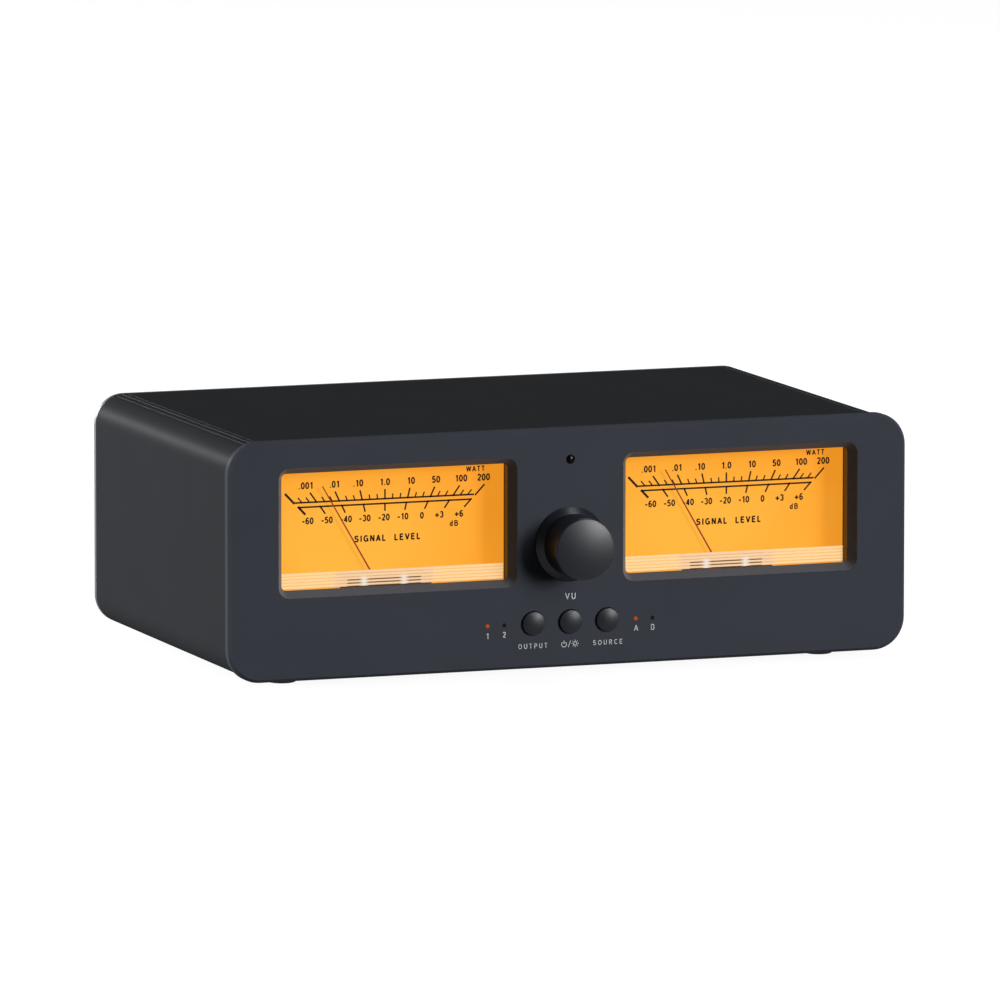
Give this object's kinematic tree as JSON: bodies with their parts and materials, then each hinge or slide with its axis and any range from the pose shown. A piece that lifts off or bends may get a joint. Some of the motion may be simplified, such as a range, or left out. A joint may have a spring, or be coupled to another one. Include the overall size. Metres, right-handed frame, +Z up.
{
  "type": "analog vu meter",
  "caption": "Desktop stereo level meter: two backlit moving-coil dials, a level knob and push buttons on the front, binding posts behind.",
  "frame": {"origin": "on the surface it stands on, under the middle of the whole object, knob and binding posts included", "axes": "+X to the right seen from the front, +Y to the back (the front panel faces -Y), +Z up"},
  "size_m": [0.26, 0.1912, 0.0896],
  "materials": {
    "black_anodised": "satin black anodised, fine bead blast",
    "black_steel": "black oxide",
    "zinc_steel": "zinc plated",
    "foot_rubber": "matte",
    "clear_acrylic": "polished clear acrylic",
    "black_abs": "moulded, fine grain",
    "dial_film": "translucent printed film, lit from behind",
    "light_guide": "frosted light guide, lit",
    "needle_paint": "dark red paint",
    "copper_winding": "enamelled copper wire",
    "spring_bronze": "bright bronze strip",
    "magnet_alloy": "ground",
    "soft_iron": "nickel flash",
    "bridge_aluminium": "stamped, bright",
    "knob_anodised": "satin black anodised",
    "button_plastic": "satin",
    "red_led": "clear red",
    "sensor_black": "infrared-clear black",
    "circuit_board": "green solder mask",
    "ribbon_grey": "ribbed",
    "relay_case": "moulded",
    "brass": "turned",
    "plated_brass": "gold flash over nickel",
    "post_red": "moulded",
    "post_black": "moulded"
  },
  "bodies": {
    "case": {"backlights": "light_guide", "board_screws": "zinc_steel", "case_sleeve": "black_anodised", "control_board": "circuit_board", "dc_inlet": "black_abs", "foot_screws": "zinc_steel", "front_bridges": "bridge_aluminium", "front_panel": "black_anodised", "indicator_leds": "red_led", "left_dial": "dial_film", "left_housing": "black_abs", "left_window": "clear_acrylic", "magnets": "magnet_alloy", "main_board": "circuit_board", "meter_screws": "zinc_steel", "movement_frames": "black_abs", "post_bases": "post_black", "post_nuts": "plated_brass", "post_studs": "plated_brass", "pot_nut": "zinc_steel", "potentiometer": "zinc_steel", "rear_panel": "black_anodised", "relays": "relay_case", "remote_sensor": "sensor_black", "ribbon_cable": "ribbon_grey", "right_dial": "dial_film", "right_housing": "black_abs", "right_window": "clear_acrylic", "rubber_feet": "foot_rubber", "standoffs": "brass", "tact_switches": "black_abs", "tie_screws": "black_steel", "yokes": "soft_iron"},
    "knob": {"knob": "knob_anodised", "pot_shaft": "bridge_aluminium"},
    "button_left": {"button_left": "button_plastic"},
    "button_centre": {"button_centre": "button_plastic"},
    "button_right": {"button_right": "button_plastic"},
    "left_pointer": {"left_needle": "needle_paint", "left_coil": "copper_winding", "left_hairspring": "spring_bronze"},
    "right_pointer": {"right_needle": "needle_paint", "right_coil": "copper_winding", "right_hairspring": "spring_bronze"},
    "cap_amp_a_left_red": {"cap_amp_a_left_red": "post_red"},
    "cap_amp_a_left_black": {"cap_amp_a_left_black": "post_black"},
    "cap_amp_a_right_red": {"cap_amp_a_right_red": "post_red"},
    "cap_amp_a_right_black": {"cap_amp_a_right_black": "post_black"},
    "cap_amp_b_left_red": {"cap_amp_b_left_red": "post_red"},
    "cap_amp_b_left_black": {"cap_amp_b_left_black": "post_black"},
    "cap_amp_b_right_red": {"cap_amp_b_right_red": "post_red"},
    "cap_amp_b_right_black": {"cap_amp_b_right_black": "post_black"},
    "cap_speaker_1_left_red": {"cap_speaker_1_left_red": "post_red"},
    "cap_speaker_1_left_black": {"cap_speaker_1_left_black": "post_black"},
    "cap_speaker_1_right_red": {"cap_speaker_1_right_red": "post_red"},
    "cap_speaker_1_right_black": {"cap_speaker_1_right_black": "post_black"},
    "cap_speaker_2_left_red": {"cap_speaker_2_left_red": "post_red"},
    "cap_speaker_2_left_black": {"cap_speaker_2_left_black": "post_black"},
    "cap_speaker_2_right_red": {"cap_speaker_2_right_red": "post_red"},
    "cap_speaker_2_right_black": {"cap_speaker_2_right_black": "post_black"}
  },
  "joints": [
    {"name": "knob_turn", "type": "hinge", "parent": "case", "child": "knob", "pos_m": [0, -0.0791, 0.0475], "axis": [0, 1, 0], "range_deg": [-150, 150]},
    {"name": "button_left_press", "type": "slide", "parent": "case", "child": "button_left", "axis": [0, 1, 0], "range_m": [0, 0.0008], "stiffness_N_per_m": 800, "springref_m": -0.0006},
    {"name": "button_centre_press", "type": "slide", "parent": "case", "child": "button_centre", "axis": [0, 1, 0], "range_m": [0, 0.0008], "stiffness_N_per_m": 800, "springref_m": -0.0006},
    {"name": "button_right_press", "type": "slide", "parent": "case", "child": "button_right", "axis": [0, 1, 0], "range_m": [0, 0.0008], "stiffness_N_per_m": 800, "springref_m": -0.0006},
    {"name": "left_needle_swing", "type": "hinge", "parent": "case", "child": "left_pointer", "pos_m": [-0.06571, -0.0667, 0.0288], "axis": [0, 1, 0], "range_deg": [-17.35, 77.65], "stiffness_Nm_per_rad": 0.00003, "deforming": ["left_hairspring"]},
    {"name": "right_needle_swing", "type": "hinge", "parent": "case", "child": "right_pointer", "pos_m": [0.06571, -0.0667, 0.0288], "axis": [0, 1, 0], "range_deg": [-17.35, 77.65], "stiffness_Nm_per_rad": 0.00003, "deforming": ["right_hairspring"]},
    {"name": "cap_amp_a_left_red_unscrew", "type": "hinge", "parent": "case", "child": "cap_amp_a_left_red", "pos_m": [-0.0785, 0.079, 0.0588], "axis": [0, 1, 0], "range_deg": [0, 1080]},
    {"name": "cap_amp_a_left_black_unscrew", "type": "hinge", "parent": "case", "child": "cap_amp_a_left_black", "pos_m": [-0.0595, 0.079, 0.0588], "axis": [0, 1, 0], "range_deg": [0, 1080]},
    {"name": "cap_amp_a_right_red_unscrew", "type": "hinge", "parent": "case", "child": "cap_amp_a_right_red", "pos_m": [-0.0785, 0.079, 0.0308], "axis": [0, 1, 0], "range_deg": [0, 1080]},
    {"name": "cap_amp_a_right_black_unscrew", "type": "hinge", "parent": "case", "child": "cap_amp_a_right_black", "pos_m": [-0.0595, 0.079, 0.0308], "axis": [0, 1, 0], "range_deg": [0, 1080]},
    {"name": "cap_amp_b_left_red_unscrew", "type": "hinge", "parent": "case", "child": "cap_amp_b_left_red", "pos_m": [-0.0325, 0.079, 0.0588], "axis": [0, 1, 0], "range_deg": [0, 1080]},
    {"name": "cap_amp_b_left_black_unscrew", "type": "hinge", "parent": "case", "child": "cap_amp_b_left_black", "pos_m": [-0.0135, 0.079, 0.0588], "axis": [0, 1, 0], "range_deg": [0, 1080]},
    {"name": "cap_amp_b_right_red_unscrew", "type": "hinge", "parent": "case", "child": "cap_amp_b_right_red", "pos_m": [-0.0325, 0.079, 0.0308], "axis": [0, 1, 0], "range_deg": [0, 1080]},
    {"name": "cap_amp_b_right_black_unscrew", "type": "hinge", "parent": "case", "child": "cap_amp_b_right_black", "pos_m": [-0.0135, 0.079, 0.0308], "axis": [0, 1, 0], "range_deg": [0, 1080]},
    {"name": "cap_speaker_1_left_red_unscrew", "type": "hinge", "parent": "case", "child": "cap_speaker_1_left_red", "pos_m": [0.0135, 0.079, 0.0588], "axis": [0, 1, 0], "range_deg": [0, 1080]},
    {"name": "cap_speaker_1_left_black_unscrew", "type": "hinge", "parent": "case", "child": "cap_speaker_1_left_black", "pos_m": [0.0325, 0.079, 0.0588], "axis": [0, 1, 0], "range_deg": [0, 1080]},
    {"name": "cap_speaker_1_right_red_unscrew", "type": "hinge", "parent": "case", "child": "cap_speaker_1_right_red", "pos_m": [0.0135, 0.079, 0.0308], "axis": [0, 1, 0], "range_deg": [0, 1080]},
    {"name": "cap_speaker_1_right_black_unscrew", "type": "hinge", "parent": "case", "child": "cap_speaker_1_right_black", "pos_m": [0.0325, 0.079, 0.0308], "axis": [0, 1, 0], "range_deg": [0, 1080]},
    {"name": "cap_speaker_2_left_red_unscrew", "type": "hinge", "parent": "case", "child": "cap_speaker_2_left_red", "pos_m": [0.0595, 0.079, 0.0588], "axis": [0, 1, 0], "range_deg": [0, 1080]},
    {"name": "cap_speaker_2_left_black_unscrew", "type": "hinge", "parent": "case", "child": "cap_speaker_2_left_black", "pos_m": [0.0785, 0.079, 0.0588], "axis": [0, 1, 0], "range_deg": [0, 1080]},
    {"name": "cap_speaker_2_right_red_unscrew", "type": "hinge", "parent": "case", "child": "cap_speaker_2_right_red", "pos_m": [0.0595, 0.079, 0.0308], "axis": [0, 1, 0], "range_deg": [0, 1080]},
    {"name": "cap_speaker_2_right_black_unscrew", "type": "hinge", "parent": "case", "child": "cap_speaker_2_right_black", "pos_m": [0.0785, 0.079, 0.0308], "axis": [0, 1, 0], "range_deg": [0, 1080]}
  ]
}
